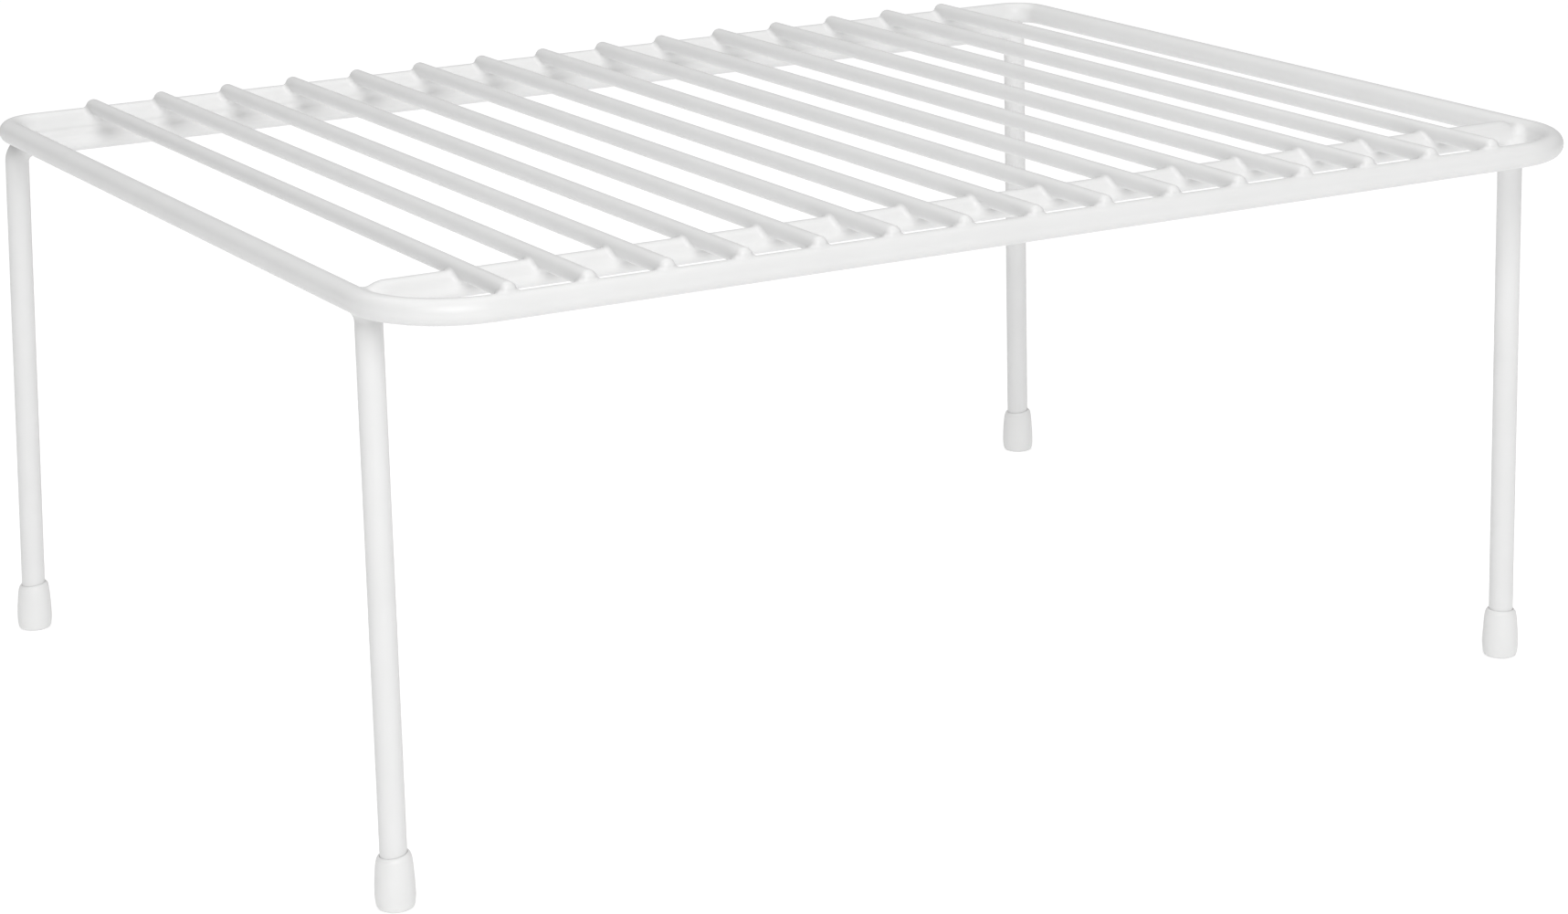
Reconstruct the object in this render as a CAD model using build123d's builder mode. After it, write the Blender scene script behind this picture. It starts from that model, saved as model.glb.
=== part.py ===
from build123d import *

import math
import os

# Free-standing wire shelf riser, all welded: a rounded rim loop, a mat of thin
# deck wires laid across it from front to rear, two U-shaped leg wires and a
# moulded cap on each foot. Millimetres, +X along the long side, +Y to the rear,
# +Z up, with the origin on the floor under the middle of the shelf.

# Coated wire diameters
RIM_WIRE_D = 6.9
LEG_WIRE_D = 7.2
DECK_WIRE_D = 4.8

# Rim loop, measured between wire centrelines, with tighter bends at the rear
RIM_LENGTH = 374.0
RIM_DEPTH = 294.0
RIM_FRONT_CORNER_R = 25.0
RIM_REAR_CORNER_R = 10.0
RIM_Z = 162.0

# Deck wires, pressed into the rim as the resistance weld sets them down
DECK_COUNT = 15
DECK_PITCH = 22.1
DECK_OFFSET_X = -3.0
DECK_RISE = 3.6
DECK_OVERHANG = 0.8
DECK_END_R = 2.0

# U-shaped leg wires: the front rail runs level with the rim under the deck
# wires, the rear rail is welded along the underside of the rim's rear side
LEG_HALF_WIDTH = 182.8
LEG_BEND_R = 5.0
FRONT_RAIL_INSET = 28.9
REAR_RAIL_DROP = 6.0
FRONT_SPREAD_X = 0.5
FRONT_LEAN_Y = 0.8
REAR_SPREAD_X = 1.6
REAR_LEAN_Y = 1.5

# Foot caps, pushed over the cut ends of the legs
CAP_HEIGHT = 14.9
CAP_FLOOR = 2.5
CAP_MOUTH_D = 8.5
CAP_NECK_D = 9.5
CAP_NECK_TAPER = 0.1
CAP_SHOULDER = 1.3
CAP_BELLY_D = 10.7
CAP_BELLY_Z = 4.3
CAP_BASE_D = 8.0

# How far along its tangents a quarter curve's control points lie
QUARTER_CURVE = 0.552


def leg_reach(rail_z, angle):
    """How far a leg has moved sideways where it ends inside its cap."""
    return (rail_z - CAP_FLOOR) * math.tan(math.radians(angle))


# The rear feet stand out behind the rim, so the rim is set forward by half of
# that and the origin is under the middle of the whole object
REAR_RAIL_Z = RIM_Z - REAR_RAIL_DROP
REAR_OVERHANG = leg_reach(REAR_RAIL_Z, REAR_LEAN_Y) + (CAP_BELLY_D - RIM_WIRE_D) / 2
RIM_FRONT_Y = -(RIM_DEPTH + REAR_OVERHANG) / 2
RIM_REAR_Y = RIM_FRONT_Y + RIM_DEPTH
FRONT_RAIL_Y = RIM_FRONT_Y + FRONT_RAIL_INSET
DECK_Z = RIM_Z + DECK_RISE


def start_plane(path):
    """The plane square to a path at its first point."""
    return Plane(origin=path @ 0, z_dir=path % 0)


def make_rim():
    """The closed loop that runs round the edge of the shelf."""
    right = RIM_LENGTH / 2
    corners = (
        (-right, RIM_FRONT_Y),
        (right, RIM_FRONT_Y),
        (right, RIM_REAR_Y),
        (-right, RIM_REAR_Y),
    )
    corner_radii = [RIM_FRONT_CORNER_R] * 2 + [RIM_REAR_CORNER_R] * 2
    with BuildPart() as rim:
        with BuildLine(Plane.XY.offset(RIM_Z)) as loop:
            FilletPolyline(*corners, radius=corner_radii, close=True)
        with BuildSketch(start_plane(loop.wire())):
            Circle(RIM_WIRE_D / 2)
        sweep(path=loop.wire())
    return rim.part


def foot_points(rail_y, rail_z, spread_x, lean_y):
    """Where the left and right legs of one wire end inside their caps."""
    x = LEG_HALF_WIDTH + leg_reach(rail_z, spread_x)
    y = rail_y + leg_reach(rail_z, lean_y)
    return ((-x, y, CAP_FLOOR), (x, y, CAP_FLOOR))


def make_leg_wire(rail_y, rail_z, feet):
    """One U-shaped wire: a leg, the rail along the shelf and the other leg."""
    left_foot, right_foot = feet
    with BuildPart() as leg_wire:
        with BuildLine() as path:
            FilletPolyline(
                left_foot,
                (-LEG_HALF_WIDTH, rail_y, rail_z),
                (LEG_HALF_WIDTH, rail_y, rail_z),
                right_foot,
                radius=LEG_BEND_R,
            )
        with BuildSketch(start_plane(path.wire())):
            Circle(LEG_WIRE_D / 2)
        sweep(path=path.wire())
    return leg_wire.part


def make_deck_wire(x, saddles):
    """One cross wire with rounded ends, hollowed where it sits on the others."""
    start_y = RIM_FRONT_Y - DECK_OVERHANG
    length = RIM_DEPTH + 2 * DECK_OVERHANG
    with BuildPart() as wire:
        with BuildSketch(Plane(origin=(x, start_y, DECK_Z), z_dir=(0, 1, 0))):
            Circle(DECK_WIRE_D / 2)
        extrude(amount=length)
        fillet(wire.edges().filter_by(GeomType.CIRCLE), radius=DECK_END_R)
        for other in saddles:
            add(other, mode=Mode.SUBTRACT)
    return wire.part


def make_foot_cap(foot, leg_wire):
    """A barrel-shaped cap with a rounded shoulder, bored to fit its leg."""
    x, y, _ = foot
    neck_z = CAP_HEIGHT - CAP_SHOULDER
    edge_width = (CAP_BELLY_D - CAP_BASE_D) / 2
    with BuildPart() as cap:
        with BuildSketch(Plane(origin=(x, y, 0), x_dir=(1, 0, 0), z_dir=(0, -1, 0))):
            with BuildLine():
                Line((0, 0), (CAP_BASE_D / 2, 0))
                Bezier(
                    (CAP_BASE_D / 2, 0),
                    (CAP_BASE_D / 2 + edge_width * QUARTER_CURVE, 0),
                    (CAP_BELLY_D / 2, CAP_BELLY_Z * (1 - QUARTER_CURVE)),
                    (CAP_BELLY_D / 2, CAP_BELLY_Z),
                )
                Spline(
                    (CAP_BELLY_D / 2, CAP_BELLY_Z),
                    (CAP_NECK_D / 2, neck_z),
                    tangents=((0, 1), (-CAP_NECK_TAPER, 1)),
                )
                Spline(
                    (CAP_NECK_D / 2, neck_z),
                    (CAP_MOUTH_D / 2, CAP_HEIGHT),
                    tangents=((-CAP_NECK_TAPER, 1), (-1, 0)),
                )
                Line((CAP_MOUTH_D / 2, CAP_HEIGHT), (0, CAP_HEIGHT))
                Line((0, CAP_HEIGHT), (0, 0))
            make_face()
        revolve(axis=Axis((x, y, 0), (0, 0, 1)))
        add(leg_wire, mode=Mode.SUBTRACT)
    return cap.part


def save(part, name):
    """Label a finished piece and write it as its own STEP file."""
    part.label = name
    export_step(part, f"parts/{name}.step")


os.makedirs("parts", exist_ok=True)

shelf_rim = make_rim()
save(shelf_rim, "shelf_rim")

front_feet = foot_points(FRONT_RAIL_Y, RIM_Z, FRONT_SPREAD_X, -FRONT_LEAN_Y)
front_leg_wire = make_leg_wire(FRONT_RAIL_Y, RIM_Z, front_feet) - shelf_rim
save(front_leg_wire, "front_leg_wire")

rear_feet = foot_points(RIM_REAR_Y, REAR_RAIL_Z, REAR_SPREAD_X, REAR_LEAN_Y)
rear_leg_wire = make_leg_wire(RIM_REAR_Y, REAR_RAIL_Z, rear_feet) - shelf_rim
save(rear_leg_wire, "rear_leg_wire")

for index in range(DECK_COUNT):
    deck_x = DECK_OFFSET_X + (index - (DECK_COUNT - 1) / 2) * DECK_PITCH
    deck_wire = make_deck_wire(deck_x, (shelf_rim, front_leg_wire))
    save(deck_wire, f"deck_wire_{index + 1:02d}")

legs = (("front", front_feet, front_leg_wire), ("rear", rear_feet, rear_leg_wire))
for row, feet, leg_wire in legs:
    for side, foot in zip(("left", "right"), feet):
        save(make_foot_cap(foot, leg_wire), f"foot_cap_{row}_{side}")
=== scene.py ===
"""Coated wire shelf riser: smooth wires, the coating's fillets at every weld, and foot caps."""

import math
import random

import bmesh
import bpy
from mathutils import Matrix, Vector


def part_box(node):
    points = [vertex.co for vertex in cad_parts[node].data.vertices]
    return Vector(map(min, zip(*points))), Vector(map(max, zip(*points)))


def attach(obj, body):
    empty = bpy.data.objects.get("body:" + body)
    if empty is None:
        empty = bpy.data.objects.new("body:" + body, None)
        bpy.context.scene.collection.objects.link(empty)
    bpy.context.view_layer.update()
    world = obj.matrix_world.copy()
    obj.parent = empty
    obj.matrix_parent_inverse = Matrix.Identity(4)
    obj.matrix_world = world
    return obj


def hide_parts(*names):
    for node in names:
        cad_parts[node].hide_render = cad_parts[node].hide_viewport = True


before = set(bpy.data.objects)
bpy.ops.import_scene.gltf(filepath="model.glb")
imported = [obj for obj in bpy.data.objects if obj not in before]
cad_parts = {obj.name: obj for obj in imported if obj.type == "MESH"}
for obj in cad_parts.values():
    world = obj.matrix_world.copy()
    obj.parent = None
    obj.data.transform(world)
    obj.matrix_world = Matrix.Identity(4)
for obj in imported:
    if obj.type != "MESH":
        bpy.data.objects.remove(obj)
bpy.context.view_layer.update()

MM = 0.001
BODY = "root"

# The wires' radii and bends, as in the CAD model
RIM_R = 3.45 * MM
LEG_R = 3.6 * MM
DECK_R = 2.4 * MM
DECK_END_R = 2.0 * MM
DECK_RISE = 3.6 * MM
RIM_FRONT_CORNER_R = 25.0 * MM
RIM_REAR_CORNER_R = 10.0 * MM
LEG_BEND_R = 5.0 * MM
LEG_HALF_WIDTH = 182.8 * MM
FRONT_RAIL_INSET = 28.9 * MM
REAR_RAIL_DROP = 6.0 * MM
CAP_FLOOR = 2.5 * MM
DECK_COUNT = 15

# How finely the wires are drawn
THICK_SEGMENTS = 48
DECK_SEGMENTS = 36
DECK_END_STEPS = 8
RUN_STEP = 6.0 * MM
ARC_STEP = math.radians(3.0)

# Radii of the coating's fillets, and how they are drawn
RIM_WELD_R = 1.5 * MM
RAIL_WELD_R = 1.3 * MM
SEAM_R = 2.0 * MM
BEND_WELD_R = 3.2 * MM
WELD_SPREAD = 0.12
FILLET_ARC_STEPS = 8
FILLET_STEP = 0.45 * MM
SEAM_STEP = 2.0 * MM
FILLET_DEPTH = 0.15 * MM
WELD_SEED = 11

# How a ball is rolled round a joint to shape its fillet
SETTLE_ROUNDS = 14
SETTLE_TOLERANCE = 1e-8
LEAST_SHARE = 1e-3
TRACK_LIMIT = 4000
SHARP_TURN = math.radians(12)
EASY_TURN = math.radians(5)
STRIDE_GROWTH = 1.4
LEAST_STRIDE = 1 / 40
TRACK_CLOSED = 0.8
PROBE_STEP = 0.1 * MM
PROBE_ROUNDS = 60

# Outline of a foot cap as (radius, height) in mm, from the edge of its base over its mouth
CAP_OUTLINE = (
    (3.6, 0.0),
    (4.3, 0.1),
    (4.85, 0.55),
    (5.15, 1.5),
    (5.32, 3.0),
    (5.35, 4.4),
    (5.28, 7.0),
    (5.12, 9.5),
    (4.93, 12.0),
    (4.76, 13.2),
    (4.6, 13.9),
    (4.35, 14.4),
    (4.05, 14.75),
    (3.8, 14.9),
    (3.68, 14.8),
    (3.64, 14.3),
)
CAP_SEGMENTS = 72
CAP_SMOOTHING = 5
CAP_SKEW_START = 5.0 * MM
CAP_SKEW_END = 14.0 * MM
CAP_SKEWS = {
    "foot_cap_front_left": math.radians(8.0),
    "foot_cap_front_right": math.radians(-1.5),
    "foot_cap_rear_left": math.radians(6.0),
    "foot_cap_rear_right": math.radians(7.0),
}


# ---------------------------------------------------------------- wire paths


def rounded_path(corners, radii, closed):
    """Straight runs and arcs through the corners, with one radius for each turn."""
    count = len(corners)
    turns = {}
    for i, radius in zip(range(count) if closed else range(1, count - 1), radii):
        here = corners[i]
        ahead = (here - corners[i - 1]).normalized()
        after = (corners[(i + 1) % count] - here).normalized()
        angle = ahead.angle(after)
        reach = radius * math.tan(angle / 2)
        inward = (after - ahead * ahead.dot(after)).normalized()
        turns[i] = {
            "start": here - ahead * reach,
            "end": here + after * reach,
            "centre": here - ahead * reach + inward * radius,
            "inward": inward,
            "ahead": ahead,
            "angle": angle,
            "radius": radius,
        }
    path = []
    for i in range(count if closed else count - 1):
        j = (i + 1) % count
        start = turns[i]["end"] if i in turns else corners[i]
        end = turns[j]["start"] if j in turns else corners[j]
        path.append({"start": start, "end": end})
        if j in turns:
            path.append(turns[j])
    return path


def arc_point(arc, angle):
    """The point and direction at an angle along an arc."""
    cos, sin = math.cos(angle), math.sin(angle)
    point = arc["centre"] + (arc["ahead"] * sin - arc["inward"] * cos) * arc["radius"]
    return point, arc["ahead"] * cos + arc["inward"] * sin


def sample(path, closed):
    """Points and directions along a path, close together on its arcs."""
    samples = []
    for piece in path:
        if "angle" in piece:
            steps = max(2, math.ceil(piece["angle"] / ARC_STEP))
            samples += [
                arc_point(piece, piece["angle"] * i / steps) for i in range(steps)
            ]
        else:
            run = piece["end"] - piece["start"]
            steps = max(1, math.ceil(run.length / RUN_STEP))
            samples += [
                (piece["start"] + run * (i / steps), run.normalized())
                for i in range(steps)
            ]
    if not closed:
        samples.append((path[-1]["end"], samples[-1][1]))
    return samples


def closest_on_path(path, point):
    """The nearest point of a wire's centreline."""
    best, best_distance = None, math.inf
    for piece in path:
        if "angle" in piece:
            arm = point - piece["centre"]
            angle = math.atan2(arm.dot(piece["ahead"]), -arm.dot(piece["inward"]))
            angle = min(max(angle, 0.0), piece["angle"])
            near = arc_point(piece, angle)[0]
        else:
            run = piece["end"] - piece["start"]
            along = (point - piece["start"]).dot(run) / run.length_squared
            near = piece["start"] + run * min(max(along, 0.0), 1.0)
        distance = (point - near).length
        if distance < best_distance:
            best, best_distance = near, distance
    return best


def closest_in_rod(x, z, low_y, high_y, point):
    """The nearest point of a deck wire's core, which its rounded skin lies round."""
    across = Vector((point.x - x, 0.0, point.z - z))
    core = DECK_R - DECK_END_R
    if across.length > core:
        across *= core / across.length
    y = min(max(point.y, low_y + DECK_END_R), high_y - DECK_END_R)
    return Vector((x + across.x, y, z + across.z))


# ---------------------------------------------------------------- mesh making


def skin(rings, closed):
    """Faces over a row of equal rings, joined round or capped at both ends."""
    size = len(rings[0])
    verts = [v for ring in rings for v in ring]
    faces = []
    for i in range(len(rings) if closed else len(rings) - 1):
        a, b = i * size, ((i + 1) % len(rings)) * size
        for j in range(size):
            k = (j + 1) % size
            faces.append((a + j, a + k, b + k, b + j))
    if not closed:
        faces.append(tuple(range(size)))
        faces.append(tuple(range(len(verts) - size, len(verts))))
    return verts, faces


def add_piece(name, verts, faces, material, slot, nodes=(), normals=None):
    """A smooth closed mesh that rides on the body and stands for its CAD nodes."""
    mesh = bpy.data.meshes.new(name)
    mesh.from_pydata(verts, [], faces)
    work = bmesh.new()
    work.from_mesh(mesh)
    bmesh.ops.recalc_face_normals(work, faces=work.faces)
    work.to_mesh(mesh)
    work.free()
    mesh.shade_smooth()
    if normals:
        mesh.normals_split_custom_set_from_vertices(normals)
    mesh.materials.append(material)
    piece = bpy.data.objects.new(name, mesh)
    bpy.context.scene.collection.objects.link(piece)
    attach(piece, BODY)
    if nodes:
        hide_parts(*nodes)
    return piece


def tube_rings(samples, radius, segments):
    """Rings square to a path, carried along it without twisting."""
    first = samples[0][1]
    side = first.orthogonal().normalized()
    rings = []
    for point, ahead in samples:
        side = (side - ahead * side.dot(ahead)).normalized()
        up = ahead.cross(side)
        rings.append(
            [
                point
                + (side * math.cos(turn) + up * math.sin(turn)) * radius
                for turn in (2 * math.pi * j / segments for j in range(segments))
            ]
        )
    return rings


def rod_rings(x, z, low_y, high_y):
    """Rings of a deck wire along Y, with its two ends rounded."""
    profile = []
    core = DECK_R - DECK_END_R
    for i in range(DECK_END_STEPS + 1):
        turn = math.pi / 2 * i / DECK_END_STEPS
        profile.append(
            (DECK_END_R * (1 - math.cos(turn)), core + DECK_END_R * math.sin(turn))
        )
    length = high_y - low_y
    runs = math.ceil((length - 2 * DECK_END_R) / RUN_STEP)
    spots = [(low_y + a, r) for a, r in profile]
    inner = length - 2 * DECK_END_R
    spots += [(low_y + DECK_END_R + inner * i / runs, DECK_R) for i in range(1, runs)]
    spots += [(high_y - a, r) for a, r in reversed(profile)]
    turns = [2 * math.pi * j / DECK_SEGMENTS for j in range(DECK_SEGMENTS)]
    return [
        [Vector((x + r * math.cos(t), y, z + r * math.sin(t))) for t in turns]
        for y, r in spots
    ]


# ---------------------------------------------------------------- fillets


def gap(wire, point):
    """Distance from a wire's surface, and the direction away from it."""
    away = point - wire["closest"](point)
    return away.length - wire["radius"], away.normalized()


def settle(a, b, point, radius):
    """Moves a ball's centre until the ball touches both wires."""
    for _ in range(SETTLE_ROUNDS):
        gap_a, away_a = gap(a, point)
        gap_b, away_b = gap(b, point)
        off_a, off_b = gap_a - radius, gap_b - radius
        if abs(off_a) + abs(off_b) < SETTLE_TOLERANCE:
            break
        lean = away_a.dot(away_b)
        share = max(1 - lean * lean, LEAST_SHARE)
        step = away_a * ((off_a - lean * off_b) / share)
        step += away_b * ((off_b - lean * off_a) / share)
        if step.length > radius:
            step *= radius / step.length
        point = point - step
    return point, away_a, away_b


def roll_ball(a, b, seed, radius, step):
    """Centres of a ball rolled once round two touching wires, with its contacts."""
    here = settle(a, b, seed, radius)
    track = [here]
    heading = here[1].cross(here[2]).normalized()
    stride, travelled = step / 4, 0.0
    while len(track) < TRACK_LIMIT:
        there = settle(a, b, track[-1][0] + heading * stride, radius)
        turned = there[1].cross(there[2]).normalized()
        bend = heading.angle(turned, 0.0)
        if bend > SHARP_TURN and stride > step * LEAST_STRIDE:
            stride /= 2
            continue
        travelled += stride
        left_over = (there[0] - here[0]).length
        if travelled > 4 * stride and left_over < stride * TRACK_CLOSED:
            break
        track.append(there)
        heading = turned
        if bend < EASY_TURN:
            stride = min(stride * STRIDE_GROWTH, step)
    return track


def fillet(a, b, seed, radius, step):
    """Closed coating fillet round the joint of two wires: vertices, faces, normals."""
    rings, normals = [], []
    for centre, away_a, away_b in roll_ball(a, b, seed, radius, step):
        spread = away_a.angle(away_b)
        ring = []
        for i in range(FILLET_ARC_STEPS + 1):
            share = i / FILLET_ARC_STEPS
            way = away_a * math.sin((1 - share) * spread)
            way = (way + away_b * math.sin(share * spread)).normalized()
            ring.append(centre - way * radius)
            normals.append(way)
        inward = -(away_a + away_b).normalized()
        depth, reach = radius, radius
        best = math.inf
        for _ in range(PROBE_ROUNDS):
            depth += PROBE_STEP
            probe = centre + inward * depth
            worst = max(gap(a, probe)[0], gap(b, probe)[0])
            if worst < best:
                best, reach = worst, depth
            if worst < -FILLET_DEPTH:
                break
        ring.append(centre + inward * reach)
        normals.append(-inward)
        rings.append(ring)
    verts, faces = skin(rings, True)
    return verts, faces, normals


def join(shells):
    """Several shells as one set of vertices, faces and normals."""
    verts, faces, normals = [], [], []
    for shell_verts, shell_faces, shell_normals in shells:
        base = len(verts)
        verts += shell_verts
        faces += [tuple(base + i for i in face) for face in shell_faces]
        normals += shell_normals
    return verts, faces, normals


# ---------------------------------------------------------------- materials


def plastic_white(name, dark, light, rough, peel):
    """Smooth white coating: faint mottling, uneven gloss and a fine orange peel."""
    material = bpy.data.materials.new(name)
    material.use_nodes = True
    tree = material.node_tree
    shader = tree.nodes["Principled BSDF"]
    place = tree.nodes.new("ShaderNodeTexCoord")

    def grain(scale, detail):
        node = tree.nodes.new("ShaderNodeTexNoise")
        node.inputs["Scale"].default_value = scale
        node.inputs["Detail"].default_value = detail
        tree.links.new(place.outputs["Object"], node.inputs["Vector"])
        return node.outputs["Fac"]

    tint = tree.nodes.new("ShaderNodeMix")
    tint.data_type = "RGBA"
    tint.inputs[6].default_value = (*dark, 1.0)
    tint.inputs[7].default_value = (*light, 1.0)
    tree.links.new(grain(70.0, 3.0), tint.inputs[0])
    tree.links.new(tint.outputs[2], shader.inputs["Base Color"])

    gloss = tree.nodes.new("ShaderNodeMapRange")
    gloss.inputs["From Min"].default_value = 0.3
    gloss.inputs["From Max"].default_value = 0.7
    gloss.inputs["To Min"].default_value = rough[0]
    gloss.inputs["To Max"].default_value = rough[1]
    tree.links.new(grain(420.0, 4.0), gloss.inputs["Value"])
    tree.links.new(gloss.outputs["Result"], shader.inputs["Roughness"])

    wavy = tree.nodes.new("ShaderNodeBump")
    wavy.inputs["Strength"].default_value = peel
    wavy.inputs["Distance"].default_value = 0.06 * MM
    tree.links.new(grain(210.0, 2.0), wavy.inputs["Height"])
    fine = tree.nodes.new("ShaderNodeBump")
    fine.inputs["Strength"].default_value = peel
    fine.inputs["Distance"].default_value = 0.012 * MM
    tree.links.new(grain(1500.0, 3.0), fine.inputs["Height"])
    tree.links.new(wavy.outputs["Normal"], fine.inputs["Normal"])
    tree.links.new(fine.outputs["Normal"], shader.inputs["Normal"])
    shader.inputs["IOR"].default_value = 1.48
    return material


coating = plastic_white(
    "white_coating", (0.66, 0.66, 0.657), (0.70, 0.70, 0.698), (0.36, 0.46), 0.35
)
cap_plastic = plastic_white(
    "white_cap_plastic", (0.68, 0.68, 0.676), (0.72, 0.72, 0.716), (0.42, 0.52), 0.25
)


# ---------------------------------------------------------------- the wires

rim_low, rim_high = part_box("shelf_rim")
rim_mid = (rim_low + rim_high) / 2
half_x = (rim_high.x - rim_low.x) / 2 - RIM_R
front_y, rear_y = rim_low.y + RIM_R, rim_high.y - RIM_R
rim_path = rounded_path(
    [
        Vector((-half_x, front_y, rim_mid.z)),
        Vector((half_x, front_y, rim_mid.z)),
        Vector((half_x, rear_y, rim_mid.z)),
        Vector((-half_x, rear_y, rim_mid.z)),
    ],
    [RIM_FRONT_CORNER_R] * 2 + [RIM_REAR_CORNER_R] * 2,
    True,
)
rim_wire = {"closest": lambda p: closest_on_path(rim_path, p), "radius": RIM_R}
add_piece(
    "rim_coated",
    *skin(tube_rings(sample(rim_path, True), RIM_R, THICK_SEGMENTS), True),
    coating,
    "wire_coating",
    ["shelf_rim"],
)


def foot_of(row, side):
    """Where a leg ends inside its cap."""
    low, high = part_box(f"foot_cap_{row}_{side}")
    return Vector(((low.x + high.x) / 2, (low.y + high.y) / 2, CAP_FLOOR))


rails = {
    "front": (front_y + FRONT_RAIL_INSET, rim_mid.z),
    "rear": (rear_y, rim_mid.z - REAR_RAIL_DROP),
}
leg_wires = {}
for row, (rail_y, rail_z) in rails.items():
    path = rounded_path(
        [
            foot_of(row, "left"),
            Vector((-LEG_HALF_WIDTH, rail_y, rail_z)),
            Vector((LEG_HALF_WIDTH, rail_y, rail_z)),
            foot_of(row, "right"),
        ],
        [LEG_BEND_R] * 2,
        False,
    )
    leg_wires[row] = {
        "closest": lambda p, path=path: closest_on_path(path, p),
        "radius": LEG_R,
    }
    add_piece(
        f"{row}_legs_coated",
        *skin(tube_rings(sample(path, False), LEG_R, THICK_SEGMENTS), False),
        coating,
        "wire_coating",
        [f"{row}_leg_wire"],
    )

draw = random.Random(WELD_SEED)
deck_z = rim_mid.z + DECK_RISE
for number in range(1, DECK_COUNT + 1):
    node = f"deck_wire_{number:02d}"
    low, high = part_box(node)
    deck_x = (low.x + high.x) / 2
    deck_wire = {
        "closest": lambda p, x=deck_x, low=low, high=high: closest_in_rod(
            x, deck_z, low.y, high.y, p
        ),
        "radius": DECK_END_R,
    }
    add_piece(
        f"deck_wire_coated_{number:02d}",
        *skin(rod_rings(deck_x, deck_z, low.y, high.y), False),
        coating,
        "wire_coating",
        [node],
    )
    joints = (
        (rim_wire, front_y, RIM_R, RIM_WELD_R),
        (leg_wires["front"], rails["front"][0], LEG_R, RAIL_WELD_R),
        (rim_wire, rear_y, RIM_R, RIM_WELD_R),
    )
    shells = []
    for under, y, under_r, weld_r in joints:
        weld_r *= 1 + draw.uniform(-WELD_SPREAD, WELD_SPREAD)
        seed = Vector((deck_x + DECK_R + weld_r, y, rim_mid.z + under_r + weld_r))
        shells.append(fillet(under, deck_wire, seed, weld_r, FILLET_STEP))
    verts, faces, normals = join(shells)
    add_piece(
        f"deck_welds_{number:02d}", verts, faces, coating, "wire_coating", (), normals
    )

# The rear rail is welded along the rim, and the front legs touch its short sides
seam_seed = Vector((0.0, rear_y + RIM_R + SEAM_R, rim_mid.z - REAR_RAIL_DROP / 2))
verts, faces, normals = fillet(
    rim_wire, leg_wires["rear"], seam_seed, SEAM_R, SEAM_STEP
)
add_piece("rear_rail_seam", verts, faces, coating, "wire_coating", (), normals)
for side, sign in (("left", -1), ("right", 1)):
    bend_seed = Vector(
        (sign * (LEG_HALF_WIDTH - RIM_R), rails["front"][0], rim_mid.z + 2 * RIM_R)
    )
    verts, faces, normals = fillet(
        rim_wire, leg_wires["front"], bend_seed, BEND_WELD_R, FILLET_STEP
    )
    add_piece(
        f"front_leg_weld_{side}", verts, faces, coating, "wire_coating", (), normals
    )


# ---------------------------------------------------------------- foot caps


def smooth_outline(points, steps):
    """A curve through every point of an outline."""
    ends = [points[0], *points, points[-1]]
    curve = []
    for a, b, c, d in zip(ends, ends[1:], ends[2:], ends[3:]):
        for i in range(steps):
            t = i / steps
            curve.append(
                tuple(
                    0.5
                    * (
                        2 * q
                        + (r - p) * t
                        + (2 * p - 5 * q + 4 * r - s) * t * t
                        + (3 * q - p - 3 * r + s) * t**3
                    )
                    for p, q, r, s in zip(a, b, c, d)
                )
            )
    curve.append(points[-1])
    return curve


def ease(low, high, value):
    """A smooth rise from 0 at low to 1 at high."""
    t = min(max((value - low) / (high - low), 0.0), 1.0)
    return t * t * (3 - 2 * t)


cap_curve = smooth_outline(CAP_OUTLINE, CAP_SMOOTHING)
for row, (rail_y, rail_z) in rails.items():
    for side, sign in (("left", -1), ("right", 1)):
        node = f"foot_cap_{row}_{side}"
        foot = foot_of(row, side)
        lean_x = (sign * LEG_HALF_WIDTH - foot.x) / (rail_z - CAP_FLOOR)
        lean_y = (rail_y - foot.y) / (rail_z - CAP_FLOOR)
        skew = math.tan(CAP_SKEWS[node])
        rings = []
        for r, h in cap_curve:
            ring = []
            for j in range(CAP_SEGMENTS):
                turn = 2 * math.pi * j / CAP_SEGMENTS
                x, y = r * MM * math.cos(turn), r * MM * math.sin(turn)
                z = h * MM
                lift = skew * x * ease(CAP_SKEW_START, CAP_SKEW_END, z)
                x += foot.x + (z - CAP_FLOOR) * lean_x
                y += foot.y + (z - CAP_FLOOR) * lean_y
                ring.append(Vector((x, y, z + lift)))
            rings.append(ring)
        add_piece(f"{node}_moulded", *skin(rings, False), cap_plastic, "foot_cap", [node])


# ---------------------------------------------------------------- the studio

CAMERA_AZIMUTH = math.radians(-29.69)
CAMERA_ELEVATION = math.radians(16.07)
CAMERA_ROLL = math.radians(-1.025)
CAMERA_DISTANCE = 1.14626
CAMERA_LENS = 86.51
CAMERA_SENSOR = 36.0
AIM = Vector((1.82 * MM, -1.13 * MM, 63.0 * MM))

cos_a, sin_a = math.cos(CAMERA_AZIMUTH), math.sin(CAMERA_AZIMUTH)
cos_e, sin_e = math.cos(CAMERA_ELEVATION), math.sin(CAMERA_ELEVATION)
back = Vector((sin_a * cos_e, -cos_a * cos_e, sin_e))
level = Vector((cos_a, sin_a, 0.0))
upright = back.cross(level)
right = level * math.cos(CAMERA_ROLL) + upright * math.sin(CAMERA_ROLL)
up = back.cross(right)
target = AIM + Vector((rim_mid.x, rim_mid.y, 0.0))

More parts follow.
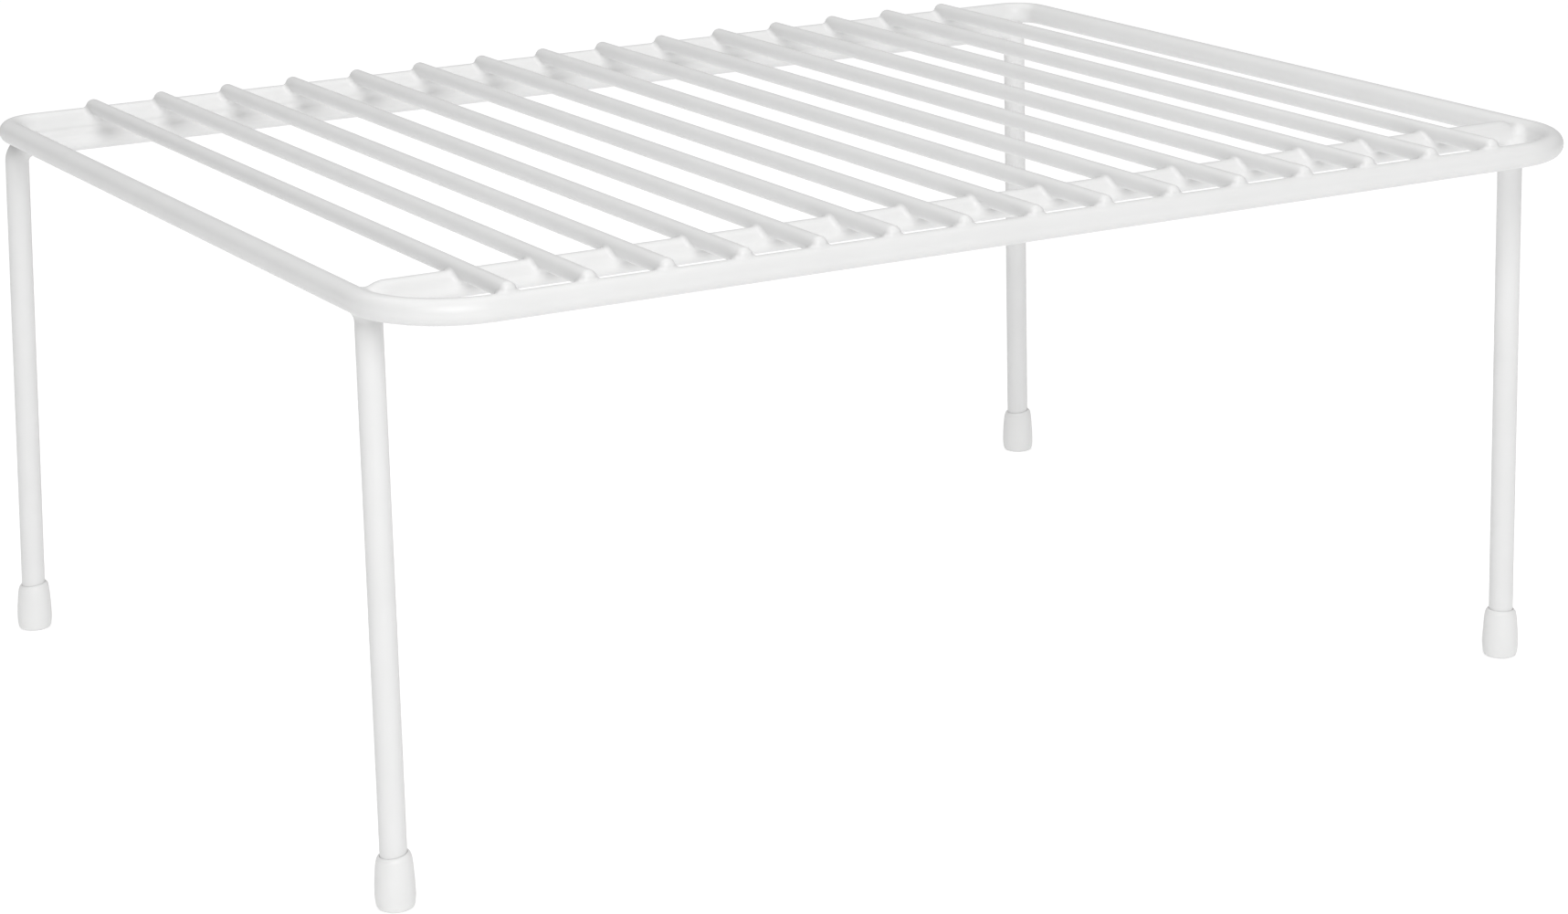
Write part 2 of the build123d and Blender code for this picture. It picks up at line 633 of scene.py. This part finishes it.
camera = bpy.data.objects.new("camera", bpy.data.cameras.new("camera"))
bpy.context.scene.collection.objects.link(camera)
camera.data.lens = CAMERA_LENS
camera.data.sensor_width = CAMERA_SENSOR
camera.matrix_world = Matrix.LocRotScale(
    target + back * CAMERA_DISTANCE,
    Matrix((right, up, back)).transposed(),
    None,
)
bpy.context.scene.camera = camera


def softbox(name, place, aim, size, power):
    """A large square area light that looks at a point."""
    data = bpy.data.lights.new(name, "AREA")
    data.size = size
    data.energy = power
    light = bpy.data.objects.new(name, data)
    bpy.context.scene.collection.objects.link(light)
    light.location = place
    light.rotation_euler = (Vector(aim) - Vector(place)).to_track_quat("-Z", "Y").to_euler()


shelf_centre = (0.0, 0.0, 0.1)
softbox("key", (-0.9, -1.9, 1.5), shelf_centre, 1.6, 44.0)
softbox("fill", (1.9, -1.2, 1.1), shelf_centre, 1.8, 6.0)
softbox("top", (0.0, 1.0, 3.0), (0.0, 0.8, 0.0), 4.0, 76.0)

world = bpy.data.worlds.new("studio")
bpy.context.scene.world = world
world.use_nodes = True
world.node_tree.nodes["Background"].inputs["Color"].default_value = (1.0, 1.0, 1.0, 1.0)
world.node_tree.nodes["Background"].inputs["Strength"].default_value = 0.2

floor_mesh = bpy.data.meshes.new("floor")
FLOOR_REACH = 5.0
FLOOR_CORNERS = ((-1, -1), (1, -1), (1, 1), (-1, 1))
floor_mesh.from_pydata(
    [(x * FLOOR_REACH, y * FLOOR_REACH, 0) for x, y in FLOOR_CORNERS],
    [],
    [(0, 1, 2, 3)],
)
floor = bpy.data.objects.new("floor", floor_mesh)
bpy.context.scene.collection.objects.link(floor)
floor_paint = bpy.data.materials.new("floor_paint")
floor_paint.use_nodes = True
floor_shader = floor_paint.node_tree.nodes["Principled BSDF"]
floor_shader.inputs["Base Color"].default_value = (0.6, 0.6, 0.6, 1.0)
floor_shader.inputs["Roughness"].default_value = 0.9
floor_shader.inputs["Emission Color"].default_value = (1.0, 1.0, 1.0, 1.0)
floor_shader.inputs["Emission Strength"].default_value = 0.5
floor_mesh.materials.append(floor_paint)

bpy.context.scene.view_settings.view_transform = "Standard"
